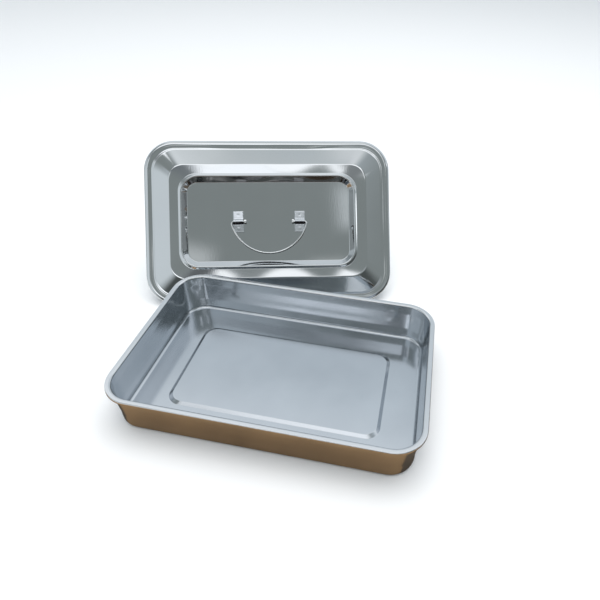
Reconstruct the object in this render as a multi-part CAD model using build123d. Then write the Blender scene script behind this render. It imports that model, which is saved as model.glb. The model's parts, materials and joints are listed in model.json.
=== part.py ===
from build123d import *
import math
import os

# Covered instrument tray: a pressed pan on the table, and its lid standing on one long
# edge behind it, leaning back, with a wire bail hanging in two welded strap clips.
# Millimetres. The origin is the centre of the tray's underside, X runs along its long
# side, +Y towards the lid and +Z up.

SHEET = 0.7                 # thickness of the pressed sheet
PAST_BEND = 6.0             # how far a profile is carried on, flat, past its last bend
CUT_PAST = 1.0              # how far a cutting block stands out of what it cuts

# Tray pan
TRAY_LENGTH = 300.0         # over the rim
TRAY_WIDTH = 199.0
TRAY_HEIGHT = 45.5
TRAY_CORNER = 31.3          # corner radius of the rim's outer edge
WALL_TOP_INSET = 5.7        # inset of the wall's inside face at the rim's height
RIM_BEND = 2.2              # radius of the bend from rim to wall
RIM_MIDDLE = 2.4            # inset of the middle of the flat rim
LIP_DROP = 2.6              # how far the rim's outer edge is turned down
LIP_BEND = 1.2
WALL_FOOT_INSET = 7.7       # inset of the wall's inside face where it meets the floor
FLOOR_BEND = 3.6            # inside radius between wall and floor
PANEL_INSET = 42.1          # inset of the raised floor panel's lower edge
PANEL_CORNER = 14.0
PANEL_RISE = 2.0
PANEL_SLOPE = 2.5           # run of the slope round the raised panel
PANEL_BEND = 1.0            # bends at the slope's foot and head

# Lid pan, flat in its own plane: insets from its outer edge, heights above that edge
LID_LENGTH = 304.0
LID_WIDTH = 202.6
LID_CORNER = 37.0
LID_LIP = -1.5              # the turned-down lip's lower edge
EDGE_HEIGHT = 3.6           # where the outer edge turns over into the crowned rim
EDGE_BEND = 3.0
CROWN_INSET = 4.6           # crown of the rim
CROWN_HEIGHT = 5.2
CROWN_BEND = 8.0
VALLEY_INSET = 11.1         # foot of the sloping band
VALLEY_HEIGHT = 4.3
VALLEY_BEND = 6.0
VALLEY_CORNER = 27.0        # corner radii, which are not concentric
PLATEAU_INSET = 31.4        # top of the sloping band
PLATEAU_HEIGHT = 12.0
PLATEAU_BEND = 3.0
PLATEAU_CORNER = 19.5
BEAD_FOOT_INSET = 43.0      # where the bead round the recess rises from the plateau
BEAD_FOOT_HEIGHT = 12.3
BEAD_FOOT_BEND = 2.0
BEAD_INSET = 46.0           # crest of the bead
BEAD_HEIGHT = 13.9          # of the crest's corner, before it is rounded
BEAD_BEND = 1.4
BEAD_CORNER = 22.0
RECESS_INSET = 52.4         # edge of the flat recessed panel
RECESS_HEIGHT = 6.2
RECESS_BEND = 1.2
RECESS_CORNER = 12.5

# How the lid stands
LID_YAW = 15.1              # turned about +Z from the tray's long side
LID_LEAN = 38.7             # leaning back from upright
LID_FOOT_X = -49.2          # middle of the lid's lower edge
LID_FOOT_Y = 116.3

# Strap clips and bail
CLIP_SPAN = 75.4            # between the two clips' middles
CLIP_WIDTH = 12.4
CLIP_LENGTH = 25.8
CLIP_SHEET = 0.8
LOOP_BORE = 2.2             # inside radius of the half-round loop
AXIS_HEIGHT = 3.1           # bail axis above the recessed panel
WIRE_RADIUS = 1.05
BAIL_HALF_WIDTH = 46.8      # from the middle to the wire's centre line at the axis
BAIL_REACH = 38.9           # from the axis to the lowest point of the arc
BAIL_BEND = 3.2             # bend where the arc turns in to the clips
END_STICK_OUT = 0.8         # how far the wire stands out of a clip before its flattened end
END_LENGTH = 2.6            # flattened ends, which stop the wire sliding out of its clips
END_WIDTH = 5.0
END_THICKNESS = 1.1
REST_GAP = 0.3              # left between the hanging bail and the panel


def bend(corner, before, after, radius, steps=4):
    """Points along a round bend at a profile's corner, as (inset, height) pairs."""
    arrive = math.atan2(corner[1] - before[1], corner[0] - before[0])
    leave = math.atan2(after[1] - corner[1], after[0] - corner[0])
    turn = (leave - arrive + math.pi) % (2 * math.pi) - math.pi
    back = radius * math.tan(abs(turn) / 2)
    side = math.copysign(1, turn)
    start = (corner[0] - back * math.cos(arrive), corner[1] - back * math.sin(arrive))
    centre = (start[0] - side * radius * math.sin(arrive),
              start[1] + side * radius * math.cos(arrive))
    angles = [arrive + turn * k / steps for k in range(steps + 1)]
    return [(centre[0] + side * radius * math.sin(a), centre[1] - side * radius * math.cos(a))
            for a in angles]


def rounded(profile, radii):
    """A profile whose inner corners are rounded by the given radii."""
    points = [profile[0]]
    for k, radius in enumerate(radii, start=1):
        points += bend(profile[k], profile[k - 1], profile[k + 1], radius)
    return points + [profile[-1]]


def offset_profile(profile, thickness):
    """The same profile moved square to itself, towards the underside."""
    moved = []
    for k, (inset, height) in enumerate(profile):
        ends = [profile[max(k - 1, 0)], (inset, height), profile[min(k + 1, len(profile) - 1)]]
        normals = []
        for (x0, y0), (x1, y1) in zip(ends, ends[1:]):
            length = math.hypot(x1 - x0, y1 - y0)
            if length:
                normals.append(((y1 - y0) / length, (x0 - x1) / length))
        nx = sum(n[0] for n in normals)
        ny = sum(n[1] for n in normals)
        scale = thickness * len(normals) / (nx * nx + ny * ny)
        moved.append((inset + nx * scale, height + ny * scale))
    return moved


def corner_at(inset, stations):
    """Corner radius at an inset, between the stations (inset, radius) either side of it."""
    for (i0, r0), (i1, r1) in zip(stations, stations[1:]):
        if inset <= i1:
            return r0 + (r1 - r0) * (inset - i0) / (i1 - i0)
    return stations[-1][1]


def pressed_block(length, width, profile, stations):
    """The solid inside rounded rectangles that follow a profile of insets and heights."""
    sections = []
    for inset, height in profile:
        outline = RectangleRounded(length - 2 * inset, width - 2 * inset, corner_at(inset, stations))
        sections.append(Pos(0, 0, height) * outline)
    return loft(sections, ruled=True)


def make_tray():
    """A one-piece pan: drafted walls, a flat rim with its edge turned down, a raised panel."""
    top = TRAY_HEIGHT
    floor = SHEET
    inside = rounded(
        [(RIM_MIDDLE, top), (WALL_TOP_INSET, top), (WALL_FOOT_INSET, floor), (PANEL_INSET, floor),
         (PANEL_INSET + PANEL_SLOPE, floor + PANEL_RISE),
         (PANEL_INSET + PANEL_SLOPE + PAST_BEND, floor + PANEL_RISE)],
        [RIM_BEND, FLOOR_BEND, PANEL_BEND, PANEL_BEND])
    stations = [(-5, TRAY_CORNER + 5), (WALL_FOOT_INSET, TRAY_CORNER - WALL_FOOT_INSET),
                (WALL_FOOT_INSET + FLOOR_BEND, TRAY_CORNER - WALL_FOOT_INSET - 1),
                (PANEL_INSET, PANEL_CORNER), (PANEL_INSET + PANEL_SLOPE + PAST_BEND, PANEL_CORNER - 3)]
    cavity = pressed_block(TRAY_LENGTH, TRAY_WIDTH, inside[1:], stations)
    outside = offset_profile(inside, SHEET)
    body = pressed_block(TRAY_LENGTH, TRAY_WIDTH, outside[1:], stations)

    lip = rounded([(0, top - LIP_DROP), (0, top), (WALL_TOP_INSET + CUT_PAST, top)], [LIP_BEND])
    rim_top = pressed_block(TRAY_LENGTH, TRAY_WIDTH, lip, stations)
    under = offset_profile(lip, SHEET)
    under[0] = (under[0][0], under[0][1] - CUT_PAST)
    rim = rim_top - pressed_block(TRAY_LENGTH, TRAY_WIDTH, under, stations)
    return rim + body - cavity


def make_lid():
    """The lid pan, flat, centred on the plane of its outer edge, with +Z its outer face."""
    profile = rounded(
        [(0, LID_LIP), (0, EDGE_HEIGHT), (CROWN_INSET, CROWN_HEIGHT), (VALLEY_INSET, VALLEY_HEIGHT),
         (PLATEAU_INSET, PLATEAU_HEIGHT), (BEAD_FOOT_INSET, BEAD_FOOT_HEIGHT),
         (BEAD_INSET, BEAD_HEIGHT), (RECESS_INSET, RECESS_HEIGHT),
         (RECESS_INSET + PAST_BEND, RECESS_HEIGHT)],
        [EDGE_BEND, CROWN_BEND, VALLEY_BEND, PLATEAU_BEND, BEAD_FOOT_BEND, BEAD_BEND, RECESS_BEND])
    stations = [(-5, LID_CORNER + 5), (CROWN_INSET, LID_CORNER - CROWN_INSET),
                (VALLEY_INSET, VALLEY_CORNER), (PLATEAU_INSET, PLATEAU_CORNER),
                (BEAD_FOOT_INSET, BEAD_CORNER), (BEAD_INSET, BEAD_CORNER),
                (RECESS_INSET, RECESS_CORNER), (RECESS_INSET + PAST_BEND, RECESS_CORNER - 4)]
    outer = pressed_block(LID_LENGTH, LID_WIDTH, profile, stations)
    under = offset_profile(profile, SHEET)
    under[0] = (under[0][0], under[0][1] - CUT_PAST)
    return outer - pressed_block(LID_LENGTH, LID_WIDTH, under, stations)


def make_clip(middle_x):
    """A strap bent to a half-round loop between two welded feet, lying on the panel."""
    strap = Pos(0, CLIP_SHEET / 2) * Rectangle(CLIP_LENGTH, CLIP_SHEET)
    loop_outside = LOOP_BORE + CLIP_SHEET
    strap += Pos(0, AXIS_HEIGHT) * Circle(loop_outside)
    strap += Pos(0, AXIS_HEIGHT / 2) * Rectangle(2 * loop_outside, AXIS_HEIGHT)
    strap -= Pos(0, AXIS_HEIGHT) * Circle(LOOP_BORE)
    strap -= Pos(0, AXIS_HEIGHT / 2) * Rectangle(2 * LOOP_BORE, AXIS_HEIGHT)
    across = Plane(origin=(middle_x - CLIP_WIDTH / 2, 0, RECESS_HEIGHT), x_dir=(0, 1, 0), z_dir=(1, 0, 0))
    return extrude(across * strap, CLIP_WIDTH)


def make_bail():
    """Wire bail in its own plane: an arc, turned in to the clips, with flattened ends."""
    inner_end = CLIP_SPAN / 2 - CLIP_WIDTH / 2 - END_STICK_OUT - END_LENGTH
    centre_y = (BAIL_HALF_WIDTH ** 2 - BAIL_REACH ** 2) / (2 * BAIL_REACH)
    radius = BAIL_REACH + centre_y
    right = (BAIL_HALF_WIDTH, 0)
    left = (-BAIL_HALF_WIDTH, 0)
    lowest = (0, centre_y - radius)
    shank_start = inner_end + END_LENGTH / 2
    path = Line((shank_start, 0), right) + ThreePointArc(right, lowest, left)
    path += Line(left, (-shank_start, 0))
    corners = [v for v in path.vertices() if abs(abs(v.X) - BAIL_HALF_WIDTH) < 0.01]
    path = Wire(path.edges()).fillet_2d(BAIL_BEND, corners)
    section = Plane(origin=(shank_start, 0, 0), z_dir=(1, 0, 0)) * Circle(WIRE_RADIUS)
    bail = sweep(section, path)
    for side in (-1, 1):
        bail += Pos(side * (inner_end + END_LENGTH / 2), 0) * Box(END_LENGTH, END_WIDTH, END_THICKNESS)
    return bail


def standing_plane():
    """The lid's own plane as it stands: origin at its middle, Z out of its outer face."""
    yaw = math.radians(LID_YAW)
    lean = math.radians(LID_LEAN)
    along = Vector(math.cos(yaw), math.sin(yaw), 0)
    behind = Vector(-math.sin(yaw), math.cos(yaw), 0)
    up_face = behind * math.sin(lean) + Vector(0, 0, math.cos(lean))
    lip_drop = -LID_LIP * math.sin(lean)
    foot = Vector(LID_FOOT_X, LID_FOOT_Y, lip_drop)
    return Plane(origin=foot + up_face * (LID_WIDTH / 2), x_dir=along, z_dir=along.cross(up_face))


standing = standing_plane()
axis_in_lid = Pos(0, 0, RECESS_HEIGHT + AXIS_HEIGHT)
hang = math.degrees(math.asin((AXIS_HEIGHT - WIRE_RADIUS - REST_GAP) / BAIL_REACH))

nodes = {
    "tray_pan": make_tray(),
    "lid_pan": standing.location * make_lid(),
    "left_strap_clip": standing.location * make_clip(-CLIP_SPAN / 2),
    "right_strap_clip": standing.location * make_clip(CLIP_SPAN / 2),
    "bail_handle": standing.location * axis_in_lid * Rot(hang, 0, 0) * make_bail(),
}

os.makedirs("parts", exist_ok=True)
for name, solid in nodes.items():
    export_step(solid, f"parts/{name}.step")

hinge = standing.location * axis_in_lid
print("bail axis at", hinge.position, "along", standing.x_dir, "lid slides along", standing.y_dir)
print("bail hangs", round(hang, 3), "degrees below the panel's plane")
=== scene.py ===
import json
import math

import bpy
from mathutils import Matrix, Vector, noise


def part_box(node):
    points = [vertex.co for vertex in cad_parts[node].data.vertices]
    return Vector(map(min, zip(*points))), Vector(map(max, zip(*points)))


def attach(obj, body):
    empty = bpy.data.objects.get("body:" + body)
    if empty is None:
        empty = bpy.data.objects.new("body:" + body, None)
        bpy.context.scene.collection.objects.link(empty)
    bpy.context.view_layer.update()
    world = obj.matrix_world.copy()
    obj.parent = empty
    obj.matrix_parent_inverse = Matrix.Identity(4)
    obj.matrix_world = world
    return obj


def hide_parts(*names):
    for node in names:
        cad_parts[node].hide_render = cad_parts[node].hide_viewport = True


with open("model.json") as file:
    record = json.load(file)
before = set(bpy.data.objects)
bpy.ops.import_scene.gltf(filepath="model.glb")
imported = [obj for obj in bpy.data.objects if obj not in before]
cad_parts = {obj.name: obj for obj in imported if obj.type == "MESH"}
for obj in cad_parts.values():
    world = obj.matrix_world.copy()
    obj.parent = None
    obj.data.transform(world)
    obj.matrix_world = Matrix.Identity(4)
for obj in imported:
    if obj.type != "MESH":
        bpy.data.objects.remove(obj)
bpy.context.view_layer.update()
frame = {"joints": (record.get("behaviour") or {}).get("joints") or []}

# A covered instrument tray of pressed stainless steel: the pan, and its lid leaning behind
# it with a wire bail in two strap clips. Sizes are millimetres until a mesh is made.

MM = 0.001
SHEET = 0.7

# ---------------------------------------------------------------- places, from the frame
tray_low, tray_high = (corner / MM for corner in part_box("tray_pan"))
TRAY_SIZE = tray_high - tray_low
LID_SIZE = Vector((304.0, 202.6))
joints = {joint["name"]: joint for joint in frame["joints"]}
LID_ALONG = -Vector(joints["bail_hinge"]["axis"]).normalized()
LID_UP = Vector(joints["lid_lift"]["axis"]).normalized()
LID_OUT = LID_ALONG.cross(LID_UP)
RECESS_HEIGHT = 6.2
AXIS_HEIGHT = 3.1
HINGE_POINT = Vector(joints["bail_hinge"]["pos_m"])
LID_TURN = Matrix((LID_ALONG, LID_UP, LID_OUT)).transposed().to_4x4()
LID_PLACE = Matrix.Translation(HINGE_POINT) @ LID_TURN @ Matrix.Translation(
    (0, 0, -(RECESS_HEIGHT + AXIS_HEIGHT) * MM))


# ---------------------------------------------------------------- profiles
BEND_STEPS = 8
BEND_EASE = 0.25


def bend(corner, before, after, radius):
    """Points along a round bend at a profile's corner, and one just outside it on each side."""
    arrive = math.atan2(corner[1] - before[1], corner[0] - before[0])
    leave = math.atan2(after[1] - corner[1], after[0] - corner[0])
    turn = (leave - arrive + math.pi) % (2 * math.pi) - math.pi
    back = radius * math.tan(abs(turn) / 2)
    side = math.copysign(1, turn)
    start = (corner[0] - back * math.cos(arrive), corner[1] - back * math.sin(arrive))
    centre = (start[0] - side * radius * math.sin(arrive), start[1] + side * radius * math.cos(arrive))
    angles = [arrive + turn * k / BEND_STEPS for k in range(BEND_STEPS + 1)]
    points = [(centre[0] + side * radius * math.sin(a), centre[1] - side * radius * math.cos(a))
              for a in angles]
    before_arc = (start[0] - BEND_EASE * math.cos(arrive), start[1] - BEND_EASE * math.sin(arrive))
    after_arc = (points[-1][0] + BEND_EASE * math.cos(leave), points[-1][1] + BEND_EASE * math.sin(leave))
    return [before_arc] + points + [after_arc]


def rounded(profile, radii):
    """A profile whose inner corners are rounded by the given radii."""
    points = [profile[0]]
    for k, radius in enumerate(radii, start=1):
        points += bend(profile[k], profile[k - 1], profile[k + 1], radius)
    return points + [profile[-1]]


def profile_normals(profile):
    """At each point, the normal out of the top face and the stretch that keeps the thickness."""
    normals = []
    for k, point in enumerate(profile):
        ends = [profile[max(k - 1, 0)], point, profile[min(k + 1, len(profile) - 1)]]
        pieces = []
        for (x0, y0), (x1, y1) in zip(ends, ends[1:]):
            length = math.hypot(x1 - x0, y1 - y0)
            if length > 0:
                pieces.append(Vector(((y0 - y1) / length, (x1 - x0) / length)))
        total = sum(pieces, Vector((0, 0)))
        normals.append((total.normalized(), len(pieces) / total.length))
    return normals


def at_stations(inset, stations):
    """A value at an inset, between the stations (inset, value) either side of it."""
    if inset <= stations[0][0]:
        return stations[0][1]
    for (i0, v0), (i1, v1) in zip(stations, stations[1:]):
        if inset <= i1:
            return v0 + (v1 - v0) * (inset - i0) / (i1 - i0)
    return stations[-1][1]


# ---------------------------------------------------------------- meshes
LONG_STEPS, SHORT_STEPS, CORNER_STEPS = 44, 30, 14
AROUND = 2 * (LONG_STEPS + SHORT_STEPS + 2 * CORNER_STEPS)
EDGE_STEPS = 4
LEAST_FLAT = 0.01


def outline(half_x, half_y, radius):
    """A rounded rectangle, anticlockwise, as (point, outward direction) pairs."""
    radius = min(radius, half_x - LEAST_FLAT, half_y - LEAST_FLAT)
    points = []
    for quadrant in range(4):
        turn = Matrix.Rotation(quadrant * math.pi / 2, 2)
        reach, half_side = (half_y, half_x) if quadrant % 2 else (half_x, half_y)
        steps = LONG_STEPS if quadrant % 2 else SHORT_STEPS
        run = half_side - radius
        for k in range(steps):
            points.append((turn @ Vector((reach, run * (2 * k / steps - 1))), turn @ Vector((1, 0))))
        for k in range(CORNER_STEPS):
            a = math.pi / 2 * k / CORNER_STEPS
            outward = Vector((math.cos(a), math.sin(a)))
            points.append((turn @ (Vector((reach - radius, run)) + radius * outward), turn @ outward))
    return points


def new_object(name, vertices, faces, place=Matrix()):
    """A smooth mesh object from millimetres, put where it stands in the row frame."""
    mesh = bpy.data.meshes.new(name)
    mesh.from_pydata([place @ (Vector(v) * MM) for v in vertices], [], faces)
    mesh.validate()
    mesh.polygons.foreach_set("use_smooth", [True] * len(mesh.polygons))
    piece = bpy.data.objects.new(name, mesh)
    bpy.context.scene.collection.objects.link(piece)
    return piece


def strips(rings, around):
    """Faces between rings of equally many vertices, each ring closed, with a cap on each end."""
    faces = [(ring * around + k, ring * around + (k + 1) % around,
              (ring + 1) * around + (k + 1) % around, (ring + 1) * around + k)
             for ring in range(rings - 1) for k in range(around)]
    faces.append(tuple(reversed(range(around))))
    faces.append(tuple((rings - 1) * around + k for k in range(around)))
    return faces


def pressing(name, size, profile, stations, dent, place=Matrix()):
    """A pan of even thickness: a profile of (inset, height) carried round a rounded rectangle.

    stations give the corner radius at an inset, and dent(x, y, inset) says how far the sheet
    stands out of true."""
    normals = profile_normals(profile)
    rings = [(point, normal, 0.0) for point, (normal, _) in zip(profile, normals)]
    under = [(point, normal, SHEET * stretch) for point, (normal, stretch) in zip(profile, normals)]
    lip_inset, lip_height = profile[0]
    for k in range(1, EDGE_STEPS):
        a = math.pi * k / EDGE_STEPS
        edge = (lip_inset + SHEET / 2 * (1 - math.cos(a)), lip_height - SHEET / 2 * math.sin(a))
        rings.insert(0, (edge, normals[0][0], 0.0))
    rings = list(reversed(under)) + rings
    vertices = []
    for (inset, height), normal, depth in rings:
        half_x, half_y = size.x / 2 - inset, size.y / 2 - inset
        for at, outward in outline(half_x, half_y, at_stations(inset, stations)):
            off = dent(at.x, at.y, inset) - depth
            shifted = at - outward * normal.x * off
            vertices.append((shifted.x, shifted.y, height + normal.y * off))
    return new_object(name, vertices, strips(len(rings), AROUND), place)


RING_SPACING = 7.0
MIDDLE_GAP, MIDDLE_CORNER = 0.3, 0.2


def carried_in(profile, half_width):
    """The profile carried on, flat, to the middle of the pan."""
    inset, height = profile[-1]
    last_inset = half_width - MIDDLE_GAP
    steps = max(1, round((last_inset - inset) / RING_SPACING))
    return profile + [(inset + (last_inset - inset) * k / steps, height) for k in range(1, steps + 1)]


def ripple(x, y, scale, seed):
    """Smooth, repeatable unevenness of about -1 to 1."""
    return noise.noise(Vector((x / scale, y / scale, seed)))


# Tray pan: insets from its rim's outline, and heights above its underside
WALL_TOP_INSET, RIM_BEND = 5.7, 2.2
LIP_DROP, LIP_BEND = 2.6, 1.2
WALL_FOOT_INSET, FLOOR_BEND = 7.7, 3.6
PANEL_INSET, PANEL_RISE, PANEL_SLOPE, PANEL_CORNER = 41.6, 2.0, 3.5, 14.0
PANEL_BEND, PANEL_RUN, PANEL_CORNER_LOSS = 0.9, 8.0, 3.0
FLOOR_CORNER_LOSS = 1.0
# The walls' draft is most in their middle, between these points
DRAFT_TOP, DRAFT_FOOT, DRAFT_BEND = (5.72, 34.0), (7.68, 14.0), 30.0
TRAY_CORNER = 31.3
WALL_WAVE, WALL_WAVE_LENGTH, WALL_SEED = 0.12, 60, 3
FLOOR_WAVE, FLOOR_WAVE_LENGTH, FLOOR_SEED, FLOOR_EASE = 0.05, 70, 8, 12


def tray_dent(x, y, inset):
    """The walls and floor are slightly wavy, and the rim is true."""
    on_floor = at_stations(inset, [(WALL_FOOT_INSET, 0.0), (WALL_FOOT_INSET + FLOOR_EASE, 1.0)])
    on_wall = at_stations(inset, [(WALL_TOP_INSET, 0.0), (WALL_TOP_INSET + 1, 1.0), (WALL_FOOT_INSET, 0.4)])
    wall = WALL_WAVE * ripple(x, y, WALL_WAVE_LENGTH, WALL_SEED)
    floor = FLOOR_WAVE * (1 + ripple(x, y, FLOOR_WAVE_LENGTH, FLOOR_SEED))
    return on_wall * (1 - on_floor) * wall + on_floor * floor


def build_tray():
    top = TRAY_SIZE.z
    profile = rounded(
        [(0, top - LIP_DROP + SHEET / 2), (0, top), (WALL_TOP_INSET, top), DRAFT_TOP, DRAFT_FOOT,
         (WALL_FOOT_INSET, SHEET),
         (PANEL_INSET, SHEET), (PANEL_INSET + PANEL_SLOPE, SHEET + PANEL_RISE),
         (PANEL_INSET + PANEL_RUN, SHEET + PANEL_RISE)],
        [LIP_BEND, RIM_BEND, DRAFT_BEND, DRAFT_BEND, FLOOR_BEND, PANEL_BEND, PANEL_BEND])
    stations = [(0, TRAY_CORNER), (WALL_FOOT_INSET, TRAY_CORNER - WALL_FOOT_INSET),
                (WALL_FOOT_INSET + FLOOR_BEND, TRAY_CORNER - WALL_FOOT_INSET - FLOOR_CORNER_LOSS),
                (PANEL_INSET, PANEL_CORNER), (PANEL_INSET + PANEL_RUN, PANEL_CORNER - PANEL_CORNER_LOSS),
                (TRAY_SIZE.y / 2, MIDDLE_CORNER)]
    profile = carried_in(profile, TRAY_SIZE.y / 2)
    return pressing("tray_pressing", TRAY_SIZE, profile, stations, tray_dent)


# Lid pan: heights above the plane of its outer edge
LID_CORNER = 37.0
LID_LIP = -1.5
EDGE_HEIGHT, EDGE_BEND = 3.6, 3.0
CROWN_INSET, CROWN_HEIGHT, CROWN_BEND = 4.6, 5.2, 8.0
VALLEY_INSET, VALLEY_HEIGHT, VALLEY_BEND, VALLEY_CORNER = 11.1, 4.3, 6.0, 27.0
PLATEAU_INSET, PLATEAU_HEIGHT, PLATEAU_BEND, PLATEAU_CORNER = 31.4, 12.0, 6.0, 19.5
BEAD_FOOT_INSET, BEAD_FOOT_HEIGHT, BEAD_FOOT_BEND = 43.0, 12.3, 2.0
BEAD_INSET, BEAD_HEIGHT, BEAD_BEND, BEAD_CORNER = 46.0, 13.9, 1.4, 22.0
RECESS_INSET, RECESS_BEND, RECESS_CORNER, RECESS_RUN, RECESS_CORNER_LOSS = 52.4, 1.2, 12.5, 6.0, 4.0
# How the sheet has drawn out of true as it was pressed
VALLEY_HOLLOW, HOLLOW_RUN, HOLLOW_START = 0.5, 9.0, 0.3
HOLLOW_FROM, HOLLOW_TO = 40, 95
PLATEAU_BOW, BOW_CENTRE = 0.36, -25
LID_WAVE, LID_WAVE_LENGTH, LID_SEED = 0.08, 55, 5


def smooth(x, low, high):
    """0 below low, 1 above high, eased between."""
    t = max(0.0, min(1.0, (x - low) / (high - low)))
    return t * t * (3 - 2 * t)


def lid_dent(x, y, inset):
    """The sheet draws hollow beside the valley near the corners, and bows along the plateau."""
    wavy = at_stations(inset, [(0, 0.0), (VALLEY_INSET, 0.3), (PLATEAU_INSET, 1.0), (RECESS_INSET, 0.6)])
    into_band = (inset - VALLEY_INSET) / HOLLOW_RUN
    hollow = (1 - into_band) ** 2 if 0 <= into_band <= 1 else 0.0
    if -HOLLOW_START < into_band < 0:
        hollow = 1 + into_band / HOLLOW_START
    near_corner = smooth(abs(x), HOLLOW_FROM, HOLLOW_TO)
    along = math.sin(math.radians(2 * (x - BOW_CENTRE))) ** 2
    across = at_stations(inset, [(PLATEAU_INSET, 0.0), (BEAD_INSET, 1.0)])
    fade = at_stations(inset, [(BEAD_INSET, 1.0), (RECESS_INSET, 0.0)])
    bow = PLATEAU_BOW * along * (1 - (1 - across) ** 2) * fade
    wave = wavy * LID_WAVE * ripple(x, y, LID_WAVE_LENGTH, LID_SEED)
    return wave + VALLEY_HOLLOW * hollow * near_corner + bow


def build_lid():
    profile = rounded(
        [(0, LID_LIP + SHEET / 2), (0, EDGE_HEIGHT), (CROWN_INSET, CROWN_HEIGHT),
         (VALLEY_INSET, VALLEY_HEIGHT), (PLATEAU_INSET, PLATEAU_HEIGHT),
         (BEAD_FOOT_INSET, BEAD_FOOT_HEIGHT), (BEAD_INSET, BEAD_HEIGHT),
         (RECESS_INSET, RECESS_HEIGHT), (RECESS_INSET + RECESS_RUN, RECESS_HEIGHT)],
        [EDGE_BEND, CROWN_BEND, VALLEY_BEND, PLATEAU_BEND, BEAD_FOOT_BEND, BEAD_BEND, RECESS_BEND])
    stations = [(0, LID_CORNER), (CROWN_INSET, LID_CORNER - CROWN_INSET), (VALLEY_INSET, VALLEY_CORNER),
                (PLATEAU_INSET, PLATEAU_CORNER), (BEAD_FOOT_INSET, BEAD_CORNER), (BEAD_INSET, BEAD_CORNER),
                (RECESS_INSET, RECESS_CORNER),
                (RECESS_INSET + RECESS_RUN, RECESS_CORNER - RECESS_CORNER_LOSS),
                (LID_SIZE.y / 2, MIDDLE_CORNER)]
    profile = carried_in(profile, LID_SIZE.y / 2)
    return pressing("lid_pressing", LID_SIZE, profile, stations, lid_dent, LID_PLACE)


# Strap clips, in the lid's own plane
CLIP_SPAN, CLIP_WIDTH, CLIP_LENGTH, CLIP_SHEET = 75.4, 12.4, 25.8, 0.8
LOOP_BORE = 2.2
HEEL, FOOT_SPRING = 0.5, 3.6
WELD_RADIUS, WELD_DEPTH, WELD_FROM_END = 2.4, 0.06, 4.6
CLIP_EDGE_RADIUS, CLIP_EDGE_ANGLE = 0.14, 50
FOOT_STEPS, HEEL_STEPS, LEG_STEPS, LOOP_STEPS, STRAP_STEPS = 14, 4, 4, 12, 14


def strap_line():
    """The strap's lower face from one foot's end to the other: (point, normal) pairs, in mm.

    Each foot springs up a little towards the loop, and turns up into it round a small heel."""
    leg = LOOP_BORE
    spring = math.radians(FOOT_SPRING)
    along, out = Vector((math.cos(spring), math.sin(spring))), Vector((-math.sin(spring), math.cos(spring)))
    start = Vector((-CLIP_LENGTH / 2, 0))
    outer_heel = HEEL + CLIP_SHEET
    run = CLIP_LENGTH / 2 - leg - outer_heel
    line = [(start + along * run * k / FOOT_STEPS, out) for k in range(FOOT_STEPS)]
    heel_centre = start + along * run + out * outer_heel
    for k in range(HEEL_STEPS + 1):
        a = spring + (math.pi / 2 - spring) * k / HEEL_STEPS
        out = Vector((-math.sin(a), math.cos(a)))
        line.append((heel_centre - out * outer_heel, out))
    leg_foot = line[-1][0]
    for k in range(1, LEG_STEPS):
        height = leg_foot.y + (AXIS_HEIGHT - leg_foot.y) * k / LEG_STEPS
        line.append((Vector((-leg, height)), Vector((-1, 0))))
    for k in range(LOOP_STEPS // 2 + 1):
        a = math.pi - math.pi * k / LOOP_STEPS
        out = Vector((math.cos(a), math.sin(a)))
        line.append((Vector((0, AXIS_HEIGHT)) + out * leg, out))
    mirrored = [(Vector((-p.x, p.y)), Vector((-n.x, n.y))) for p, n in reversed(line[:-1])]
    return line + mirrored


def build_clip(name, middle_x, tilt):
    """A strip bent over the wire, with a spot-weld dimple in each foot."""
    line = strap_line()
    weld_at = CLIP_LENGTH / 2 - WELD_FROM_END
    across = [CLIP_WIDTH * (k / STRAP_STEPS - 0.5) for k in range(STRAP_STEPS + 1)]
    turn = Matrix.Rotation(math.radians(tilt), 2)
    vertices = []
    for point, normal in line:
        ring = [(x, 0.0) for x in across]
        for x in reversed(across):
            far = math.hypot(x, abs(point.x) - weld_at) / WELD_RADIUS
            welded = far < 1 and normal.y > 0.9
            dip = WELD_DEPTH * (1 + math.cos(math.pi * far)) / 2 if welded else 0.0
            ring.append((x, CLIP_SHEET - dip))
        for x, rise in ring:
            at = point + normal * rise
            flat = turn @ Vector((x, at.x))
            vertices.append((middle_x + flat.x, flat.y, RECESS_HEIGHT + at.y))
    clip = new_object(name, vertices, strips(len(line), 2 * len(across)), LID_PLACE)
    edges = clip.modifiers.new("edges", "BEVEL")
    edges.width = CLIP_EDGE_RADIUS * MM
    edges.segments = 2
    edges.limit_method = "ANGLE"
    edges.angle_limit = math.radians(CLIP_EDGE_ANGLE)
    edges.harden_normals = False
    return clip


# Bail, in its own plane: x along the lid, y up the lid, from the middle of its axis
WIRE_RADIUS = 1.05
BAIL_HALF_WIDTH, BAIL_REACH, BAIL_BEND = 46.8, 38.9, 3.2
END_LENGTH, END_WIDTH, END_THICKNESS, END_STICK_OUT = 2.6, 5.0, 1.1, 0.8
REST_GAP = 0.3
WIRE_SIDES, AXLE_STEPS, BAIL_BEND_STEPS, ARC_STEPS = 20, 26, 10, 48
# How flat the wire is, by the distance along it from its end
FLATTENED = [(0, 0.8), (0.4, 1.0), (END_LENGTH - 0.6, 0.9), (END_LENGTH + 1.2, 0.0)]


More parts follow.
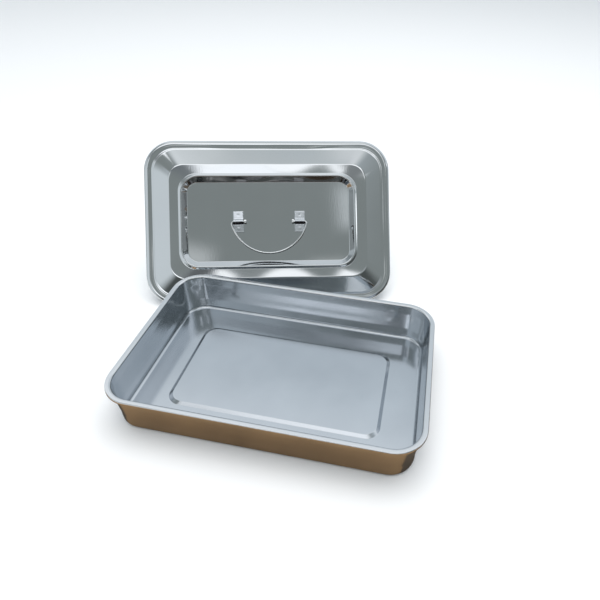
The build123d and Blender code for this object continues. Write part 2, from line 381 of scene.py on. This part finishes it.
def bail_half_path():
    """The wire's centre line from one flattened end to the lowest point: (point, way) pairs."""
    centre_y = (BAIL_HALF_WIDTH ** 2 - BAIL_REACH ** 2) / (2 * BAIL_REACH)
    radius = BAIL_REACH + centre_y
    inner_end = CLIP_SPAN / 2 - CLIP_WIDTH / 2 - END_STICK_OUT - END_LENGTH
    bend_y = -BAIL_BEND
    reach_x = math.sqrt((radius - BAIL_BEND) ** 2 - (centre_y - bend_y) ** 2)
    bend_centre = Vector((reach_x, bend_y))
    to_bend = bend_centre - Vector((0, centre_y))
    meet = math.atan2(to_bend.y, to_bend.x)
    path = []
    for k in range(AXLE_STEPS):
        path.append((Vector((inner_end + (reach_x - inner_end) * k / AXLE_STEPS, 0)), Vector((1, 0))))
    for k in range(BAIL_BEND_STEPS):
        a = math.pi / 2 + (meet - math.pi / 2) * k / BAIL_BEND_STEPS
        path.append((bend_centre + BAIL_BEND * Vector((math.cos(a), math.sin(a))),
                     Vector((math.sin(a), -math.cos(a)))))
    for k in range(ARC_STEPS + 1):
        a = meet + (-math.pi / 2 - meet) * k / ARC_STEPS
        path.append((Vector((0, centre_y)) + radius * Vector((math.cos(a), math.sin(a))),
                     Vector((math.sin(a), -math.cos(a)))))
    return path, inner_end


def build_bail():
    """One wire, round except where its ends are flattened inside the clips."""
    half, inner_end = bail_half_path()
    mirrored = [(Vector((-p.x, p.y)), Vector((w.x, -w.y))) for p, w in reversed(half[:-1])]
    path = half + mirrored
    vertices = []
    for point, way in path:
        on_axle = point.y > -0.01
        flat = at_stations(abs(point.x) - inner_end, FLATTENED) if on_axle else 0.0
        wide = WIRE_RADIUS + (END_WIDTH / 2 - WIRE_RADIUS) * flat
        thick = WIRE_RADIUS + (END_THICKNESS / 2 - WIRE_RADIUS) * flat
        sideways = Vector((-way.y, way.x))
        for k in range(WIRE_SIDES):
            a = 2 * math.pi * k / WIRE_SIDES
            at = point + sideways * wide * math.cos(a)
            vertices.append((at.x, at.y, thick * math.sin(a)))
    hang = math.asin((AXIS_HEIGHT - WIRE_RADIUS - REST_GAP) / BAIL_REACH)
    place = Matrix.Translation(HINGE_POINT) @ LID_TURN @ Matrix.Rotation(hang, 4, "X")
    return new_object("bail_wire", vertices, strips(len(path), WIRE_SIDES), place)


# ---------------------------------------------------------------- node helpers
def ramp(nodes, links, value, low, high, to=(0, 1), eased=True):
    """A socket that goes from one number to another as a value goes from low to high."""
    node = nodes.new("ShaderNodeMapRange")
    if eased:
        node.interpolation_type = "SMOOTHSTEP"
    for name, number in (("From Min", low), ("From Max", high), ("To Min", to[0]), ("To Max", to[1])):
        node.inputs[name].default_value = number
    links.new(value, node.inputs["Value"])
    return node.outputs["Result"]


def blended(nodes, links, share, first, second):
    """A socket with the first colour where the share is 0 and the second where it is 1."""
    node = nodes.new("ShaderNodeMixRGB")
    links.new(share, node.inputs["Fac"])
    for name, colour in (("Color1", first), ("Color2", second)):
        if isinstance(colour, bpy.types.NodeSocket):
            links.new(colour, node.inputs[name])
        else:
            node.inputs[name].default_value = (*colour, 1)
    return node.outputs["Color"]


def clouds(nodes, links, where, scale, detail):
    """A socket of slow noise, from 0 to 1."""
    node = nodes.new("ShaderNodeTexNoise")
    node.inputs["Scale"].default_value = scale
    node.inputs["Detail"].default_value = detail
    links.new(where, node.inputs["Vector"])
    return node.outputs["Fac"]


def along_way(nodes, links, vector, way):
    """A socket that says how far a vector goes along a direction."""
    node = nodes.new("ShaderNodeVectorMath")
    node.operation = "DOT_PRODUCT"
    node.inputs[1].default_value = way
    links.new(vector, node.inputs[0])
    return node.outputs["Value"]


def calculated(nodes, links, operation, first, second=None):
    """A socket with the result of a sum on one socket, or on two, or on one and a number."""
    node = nodes.new("ShaderNodeMath")
    node.operation = operation
    links.new(first, node.inputs[0])
    if isinstance(second, bpy.types.NodeSocket):
        links.new(second, node.inputs[1])
    elif second is not None:
        node.inputs[1].default_value = second
    return node.outputs["Value"]


# ---------------------------------------------------------------- materials
GRAIN_SCALE, GRAIN_DETAIL, GRAIN_DEPTH = 900, 3, 0.0005
PATCH_SCALE, PATCH_DETAIL, PATCH_RANGE = 14, 4, (0.2, 0.8)
# The paler colour painted on steel above a given height, and its easing: a painted highlight.
PAINTED_HIGHLIGHT_COLOUR = (0.74, 0.75, 0.76)
PAINTED_HIGHLIGHT_EASE = 0.0005


def steel(name, colour, roughness, grain=(1, 1, 1), turn=Matrix(), grain_bump=0.02, patch=0.05,
          tone=(0.94, 1.04), painted_highlight_above=None, painted_shade_side=None, painted_shade_colour=(0.03, 0.03, 0.035),
          painted_shade_from=(0.15, 0.45)):
    """Stainless steel: a fine rolled grain, and slow patches in its colour and its polish.

    grain says how the grain is drawn out along X, Y and Z, in a frame turned by turn. Above a
    height given in metres, the steel is painted paler, a painted highlight. Faces turned
    towards a direction given in the piece's own frame are painted dark, a painted shade."""
    material = bpy.data.materials.new(name)
    material.use_nodes = True
    nodes, links = material.node_tree.nodes, material.node_tree.links
    shader = nodes["Principled BSDF"]
    shader.inputs["Metallic"].default_value = 1.0
    where = nodes.new("ShaderNodeTexCoord")
    stretch = nodes.new("ShaderNodeMapping")
    stretch.vector_type = "TEXTURE"
    stretch.inputs["Rotation"].default_value = turn.to_euler()
    stretch.inputs["Scale"].default_value = grain
    links.new(where.outputs["Object"], stretch.inputs["Vector"])
    fine = clouds(nodes, links, stretch.outputs["Vector"], GRAIN_SCALE, GRAIN_DETAIL)
    slow = clouds(nodes, links, where.outputs["Object"], PATCH_SCALE, PATCH_DETAIL)

    base = blended(nodes, links, slow, *([min(1, c * share) for c in colour] for share in tone))
    # Painted highlight: above the given height, the base colour is painted paler.
    if painted_highlight_above is not None:
        split = nodes.new("ShaderNodeSeparateXYZ")
        links.new(where.outputs["Object"], split.inputs["Vector"])
        painted_highlight_share = ramp(nodes, links, split.outputs["Z"], painted_highlight_above - PAINTED_HIGHLIGHT_EASE, painted_highlight_above,
                      eased=False)
        base = blended(nodes, links, painted_highlight_share, base, PAINTED_HIGHLIGHT_COLOUR)
    # Painted shade: faces turned towards the given direction are painted dark.
    if painted_shade_side is not None:
        toward_painted_shade = along_way(nodes, links, where.outputs["Normal"], painted_shade_side)
        turned = ramp(nodes, links, toward_painted_shade, *painted_shade_from, eased=False)
        base = blended(nodes, links, turned, base, painted_shade_colour)
    links.new(base, shader.inputs["Base Color"])

    polish = ramp(nodes, links, slow, *PATCH_RANGE, to=(roughness - patch, roughness + patch))
    links.new(polish, shader.inputs["Roughness"])
    bump = nodes.new("ShaderNodeBump")
    bump.inputs["Strength"].default_value = grain_bump
    bump.inputs["Distance"].default_value = GRAIN_DEPTH
    links.new(fine, bump.inputs["Height"])
    links.new(bump.outputs["Normal"], shader.inputs["Normal"])
    return material


def stand(piece, body, node, material):
    """Puts a piece on its body in place of a CAD node, with its finish."""
    piece.data.materials.append(material)
    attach(piece, body)
    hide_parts(node)


# The tray's rim, down to RIM_DEPTH below its top, is painted paler: a painted highlight.
RIM_DEPTH = 0.8
tray_steel = steel("tray_steel", (0.57, 0.60, 0.63), 0.16, grain=(6, 1, 1), grain_bump=0.012,
                   tone=(0.9, 1.12), painted_highlight_above=(TRAY_SIZE.z - RIM_DEPTH) * MM)
# The lid's faces turned down the lid, such as the recess's upper wall, are painted dark grey: painted shade.
lid_steel = steel("lid_steel", (0.68, 0.70, 0.71), 0.055, grain=(1, 8, 1), turn=LID_TURN, patch=0.015,
                  painted_shade_side=-LID_UP, painted_shade_colour=(0.26, 0.25, 0.245), painted_shade_from=(0.55, 0.74))
# The clips' faces turned down the lid, under their loops, are painted near black: painted shade.
clip_steel = steel("clip_steel", (0.68, 0.71, 0.74), 0.17, painted_shade_side=-LID_UP)
# The wire's lower side is painted dark grey: painted shade.
wire_steel = steel("wire_steel", (0.90, 0.91, 0.91), 0.06, painted_shade_side=-LID_UP, painted_shade_colour=(0.22, 0.23, 0.24))

stand(build_tray(), "tray", "tray_pan", tray_steel)
stand(build_lid(), "lid", "lid_pan", lid_steel)
stand(build_clip("left_clip_strap", -CLIP_SPAN / 2, 1.5), "lid", "left_strap_clip", clip_steel)
stand(build_clip("right_clip_strap", CLIP_SPAN / 2, 0.0), "lid", "right_strap_clip", clip_steel)
stand(build_bail(), "bail", "bail_handle", wire_steel)


# ---------------------------------------------------------------- stage, light and camera
MOTTLE_SCALE, MOTTLE_DETAIL = 16, 3


def plain(name, colour, mottle=0.0):
    """A dull surface, even in colour or mottled by a share of it."""
    material = bpy.data.materials.new(name)
    material.use_nodes = True
    nodes, links = material.node_tree.nodes, material.node_tree.links
    shader = nodes["Principled BSDF"]
    shader.inputs["Base Color"].default_value = (*colour, 1)
    shader.inputs["Roughness"].default_value = 0.6
    if mottle:
        where = nodes.new("ShaderNodeTexCoord")
        cloud = clouds(nodes, links, where.outputs["Object"], MOTTLE_SCALE, MOTTLE_DETAIL)
        tones = ([c * share for c in colour] for share in (1 - 2 * mottle, 1 + 2 * mottle))
        links.new(blended(nodes, links, cloud, *tones), shader.inputs["Base Color"])
    return material


def flat_card(name, corners, height, material):
    """A level four-cornered card, its corners anticlockwise from above."""
    mesh = bpy.data.meshes.new(name)
    mesh.from_pydata([(x, y, height) for x, y in corners], [], [(0, 1, 2, 3)])
    mesh.materials.append(material)
    card = bpy.data.objects.new(name, mesh)
    bpy.context.scene.collection.objects.link(card)
    return card


FLOOR_REACH = 12
CARD_HEIGHT = 0.0002
flat_card("floor", [(FLOOR_REACH * x, FLOOR_REACH * y) for x, y in ((-1, -1), (1, -1), (1, 1), (-1, 1))],
          0, plain("pale_floor", (0.86, 0.86, 0.86)))
# Two cards seen only in the steel: the warm table in front, and its shade as far as the lid's foot.
front_card = flat_card("table_in_front", [(-1.6, -1.7), (1.6, -1.7), (1.6, -0.09), (-1.6, -0.09)],
                       CARD_HEIGHT, plain("warm_board", (0.35, 0.205, 0.095), mottle=0.2))
shade_card = flat_card("table_in_shade", [(-0.2, -0.09), (0.6, -0.09), (0.6, 0.27), (-0.2, 0.055)],
                       CARD_HEIGHT, plain("shaded_board", (0.10, 0.07, 0.045), mottle=0.3))
for card in (front_card, shade_card):
    card.visible_camera = False
    card.visible_diffuse = False
    card.visible_shadow = False


def sky_way(azimuth, elevation):
    """A direction, from degrees round from the viewer's side towards +X, and up."""
    a, e = math.radians(azimuth), math.radians(elevation)
    return Vector((math.sin(a) * math.cos(e), -math.cos(a) * math.cos(e), math.sin(e)))


def within(nodes, links, direction, axis, limit, soft):
    """1 where a direction is less than a limit off an axis' plane, in degrees, else 0."""
    off_plane = calculated(nodes, links, "ABSOLUTE", along_way(nodes, links, direction, axis))
    return ramp(nodes, links, off_plane, math.sin(math.radians(limit + soft)),
                math.sin(math.radians(max(limit - soft, 0))))


def hang_panel(nodes, links, direction, sky, azimuth, elevation, half_width, half_height, soft, colour):
    """The sky with a soft-edged rectangular panel of one colour hung in it."""
    ahead = sky_way(azimuth, elevation)
    across = ahead.cross(Vector((0, 0, 1))).normalized()
    upright = across.cross(ahead)
    mask = calculated(nodes, links, "GREATER_THAN", along_way(nodes, links, direction, ahead), 0.0)
    for axis, limit in ((across, half_width), (upright, half_height)):
        mask = calculated(nodes, links, "MULTIPLY", mask, within(nodes, links, direction, axis, limit, soft))
    return blended(nodes, links, mask, sky, colour)


def make_world():
    """A room that is dim on the viewer's side and pale behind the object, with lit panels.

    The steel reflects it; looked at directly, the backdrop is plain."""
    world = bpy.data.worlds.new("studio")
    bpy.context.scene.world = world
    world.use_nodes = True
    nodes, links = world.node_tree.nodes, world.node_tree.links
    direction = nodes.new("ShaderNodeTexCoord").outputs["Generated"]
    split = nodes.new("ShaderNodeSeparateXYZ")
    links.new(direction, split.inputs["Vector"])
    sky = blended(nodes, links, ramp(nodes, links, split.outputs["Y"], *ROOM_TURN), ROOM_FRONT, ROOM_BACK)
    for panel in SKY_PANELS:
        sky = hang_panel(nodes, links, direction, sky, *panel)
    looked_at = nodes.new("ShaderNodeLightPath").outputs["Is Camera Ray"]
    links.new(blended(nodes, links, looked_at, sky, BACKDROP), nodes["Background"].inputs["Color"])


BACKDROP = (0.88, 0.89, 0.90)
ROOM_FRONT = (0.27, 0.30, 0.30)
ROOM_BACK = (0.66, 0.73, 0.79)
ROOM_TURN = (-0.35, 0.45)
WHITE = (1.6, 1.65, 1.7)
# Panels round the room: azimuth, elevation, half width, half height, softness, colour
SKY_PANELS = [
    (180, 66, 60, 12, 6, (1.0, 1.05, 1.1)),
    (30, 8, 50, 12, 5, (0.09, 0.10, 0.10)),
    (4, 33, 42, 4.5, 2.5, (0.40, 0.43, 0.45)),
    (-50, 24, 26, 20, 8, (0.74, 0.80, 0.84)),
    (-59, 28, 1.2, 20, 1.5, (0.56, 0.61, 0.65)),
    (-31, 46, 9, 6.5, 2.5, (0.74, 0.80, 0.84)),
    (-76, 9, 12, 7, 4, (0.34, 0.37, 0.38)),
    (106, 11, 13, 8, 3, (0.24, 0.26, 0.27)),
    (131, 10, 10, 8, 3, (0.08, 0.09, 0.10)),
    (90, 23, 2, 2.5, 1, WHITE),
    (0, 87, 20, 9, 5, (0.70, 0.74, 0.76)),
    (-90, 73, 9, 6, 4, (0.86, 0.90, 0.93)),
    (105, 80, 5, 5, 3, (0.85, 0.88, 0.91)),
    (4, 67.7, 26, 9.8, 1.0, (1.35, 1.38, 1.42)),
    (-24, 56, 10, 3.5, 1.5, (0.20, 0.22, 0.24)),
    (34, 57, 5, 4, 1.5, (0.27, 0.29, 0.30)),
    (2.5, 56, 4.7, 2.8, 1.2, (1.32, 1.36, 1.42)),
    (16, 34.6, 10, 2.4, 1.0, (1.3, 1.32, 1.35)),
    (-10, 28.5, 7, 4.5, 2, (1.8, 1.84, 1.9)),
    (0.5, 33, 2.5, 6.0, 1.5, (0.16, 0.17, 0.18)),
    (84, 43, 1.5, 3.0, 1.5, WHITE),
    (24, 48.6, 1.2, 2.4, 1.2, (0.62, 0.66, 0.68)),
    (-1, 42.3, 2.2, 1.2, 1.2, (0.6, 0.63, 0.64)),
    (20, 41.6, 2.2, 1.0, 1.0, (0.55, 0.58, 0.58)),
]
make_world()


def soft_light(name, place, aim, width, depth, power):
    """A wide lamp that lights the floor but isn't seen in the steel."""
    data = bpy.data.lights.new(name, "AREA")
    data.shape = "RECTANGLE"
    data.size, data.size_y = width, depth
    data.energy = power
    lamp = bpy.data.objects.new(name, data)
    lamp.location = place
    lamp.visible_glossy = False
    lamp.rotation_euler = (Vector(place) - Vector(aim)).to_track_quat("Z", "Y").to_euler()
    bpy.context.scene.collection.objects.link(lamp)


soft_light("ceiling_panel", (0.1, 0.2, 2.4), (0, 0.1, 0), 2.4, 2.4, 50)

AZIMUTH, ELEVATION, ROLL = (math.radians(a) for a in (9.74, 39.2, 2.21))
DISTANCE = 0.6283
AIM = Vector((0.0271, 0.1394, 0.0))
FOCAL_PER_WIDTH = 0.8213
SENSOR_WIDTH = 36
SHIFT = (-0.0572, 0.0019)


def make_camera():
    """The eye stands to the right of the tray's front and looks down on it."""
    back = Vector((math.sin(AZIMUTH) * math.cos(ELEVATION), -math.cos(AZIMUTH) * math.cos(ELEVATION),
                   math.sin(ELEVATION)))
    level = Vector((0, 0, 1)).cross(back).normalized()
    upright = back.cross(level)
    right = level * math.cos(ROLL) + upright * math.sin(ROLL)
    up = upright * math.cos(ROLL) - level * math.sin(ROLL)
    data = bpy.data.cameras.new("camera")
    data.sensor_width = SENSOR_WIDTH
    data.lens = FOCAL_PER_WIDTH * SENSOR_WIDTH
    data.shift_x, data.shift_y = SHIFT
    data.clip_start = 0.01
    camera = bpy.data.objects.new("camera", data)
    turned = Matrix((right, up, back)).transposed().to_4x4()
    camera.matrix_world = Matrix.Translation(AIM + back * DISTANCE) @ turned
    bpy.context.scene.collection.objects.link(camera)
    bpy.context.scene.camera = camera


make_camera()
bpy.context.scene.view_settings.view_transform = "Standard"
